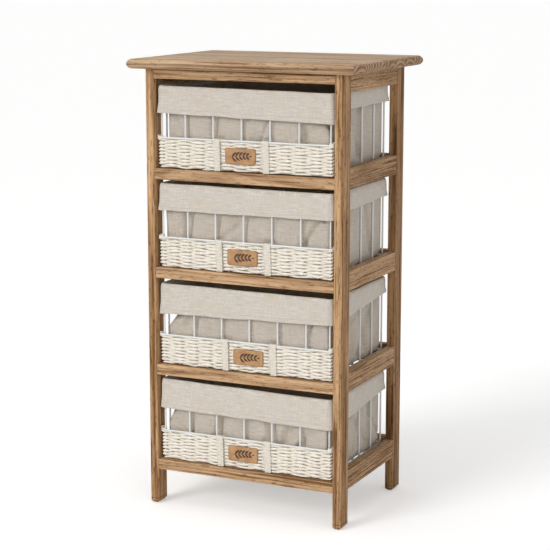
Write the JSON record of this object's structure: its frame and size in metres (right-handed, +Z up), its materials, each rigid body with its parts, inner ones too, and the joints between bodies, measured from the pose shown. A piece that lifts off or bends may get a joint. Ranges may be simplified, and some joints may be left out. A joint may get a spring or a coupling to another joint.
{
  "type": "drawer cabinet",
  "caption": "Narrow free-standing wooden cabinet: an open frame on posts with pull-out wire baskets, each with a linen liner, a woven front band, webbing straps and a leather tag.",
  "frame": {"origin": "middle of the footprint on the floor, in the plane of the posts' feet", "axes": "+Z up; the front with the woven bands faces -Y; +X is to the right for someone who faces the front"},
  "size_m": [0.4, 0.3, 0.75],
  "materials": {
    "wood": "oiled, matt, visible grain",
    "dowel_wood": "plain beech",
    "screw_steel": "zinc plated",
    "white_wire": "white powder coat, satin",
    "linen": "plain woven linen",
    "paper_rope": "woven twisted paper rope, cream",
    "webbing": "ribbed cotton webbing",
    "leather": "smooth tan leather"
  },
  "bodies": {
    "frame": {"top_board": "wood", "front_left_post": "wood", "front_right_post": "wood", "back_left_post": "wood", "back_right_post": "wood", "front_apron": "wood", "back_apron": "wood", "left_apron": "wood", "right_apron": "wood", "front_rail_1": "wood", "front_rail_2": "wood", "front_rail_3": "wood", "front_rail_4": "wood", "back_rail_1": "wood", "back_rail_2": "wood", "back_rail_3": "wood", "back_rail_4": "wood", "left_rail_1": "wood", "left_rail_2": "wood", "left_rail_3": "wood", "left_rail_4": "wood", "right_rail_1": "wood", "right_rail_2": "wood", "right_rail_3": "wood", "right_rail_4": "wood", "left_runner_1": "wood", "left_runner_2": "wood", "left_runner_3": "wood", "left_runner_4": "wood", "right_runner_1": "wood", "right_runner_2": "wood", "right_runner_3": "wood", "right_runner_4": "wood", "frame_dowels": "dowel_wood", "top_screws": "screw_steel", "runner_screws": "screw_steel"},
    "drawer_1": {"basket_frame_1": "white_wire", "liner_1": "linen", "wicker_band_1": "paper_rope", "straps_1": "webbing", "tag_1": "leather"},
    "drawer_2": {"basket_frame_2": "white_wire", "liner_2": "linen", "wicker_band_2": "paper_rope", "straps_2": "webbing", "tag_2": "leather"},
    "drawer_3": {"basket_frame_3": "white_wire", "liner_3": "linen", "wicker_band_3": "paper_rope", "straps_3": "webbing", "tag_3": "leather"},
    "drawer_4": {"basket_frame_4": "white_wire", "liner_4": "linen", "wicker_band_4": "paper_rope", "straps_4": "webbing", "tag_4": "leather"}
  },
  "joints": [
    {"name": "drawer_1_slide", "type": "slide", "parent": "frame", "child": "drawer_1", "axis": [0, -1, 0], "range_m": [-0.0095, 0.2]},
    {"name": "drawer_2_slide", "type": "slide", "parent": "frame", "child": "drawer_2", "axis": [0, -1, 0], "range_m": [-0.0095, 0.2]},
    {"name": "drawer_3_slide", "type": "slide", "parent": "frame", "child": "drawer_3", "axis": [0, -1, 0], "range_m": [-0.0095, 0.2]},
    {"name": "drawer_4_slide", "type": "slide", "parent": "frame", "child": "drawer_4", "axis": [0, -1, 0], "range_m": [-0.0095, 0.2]}
  ]
}
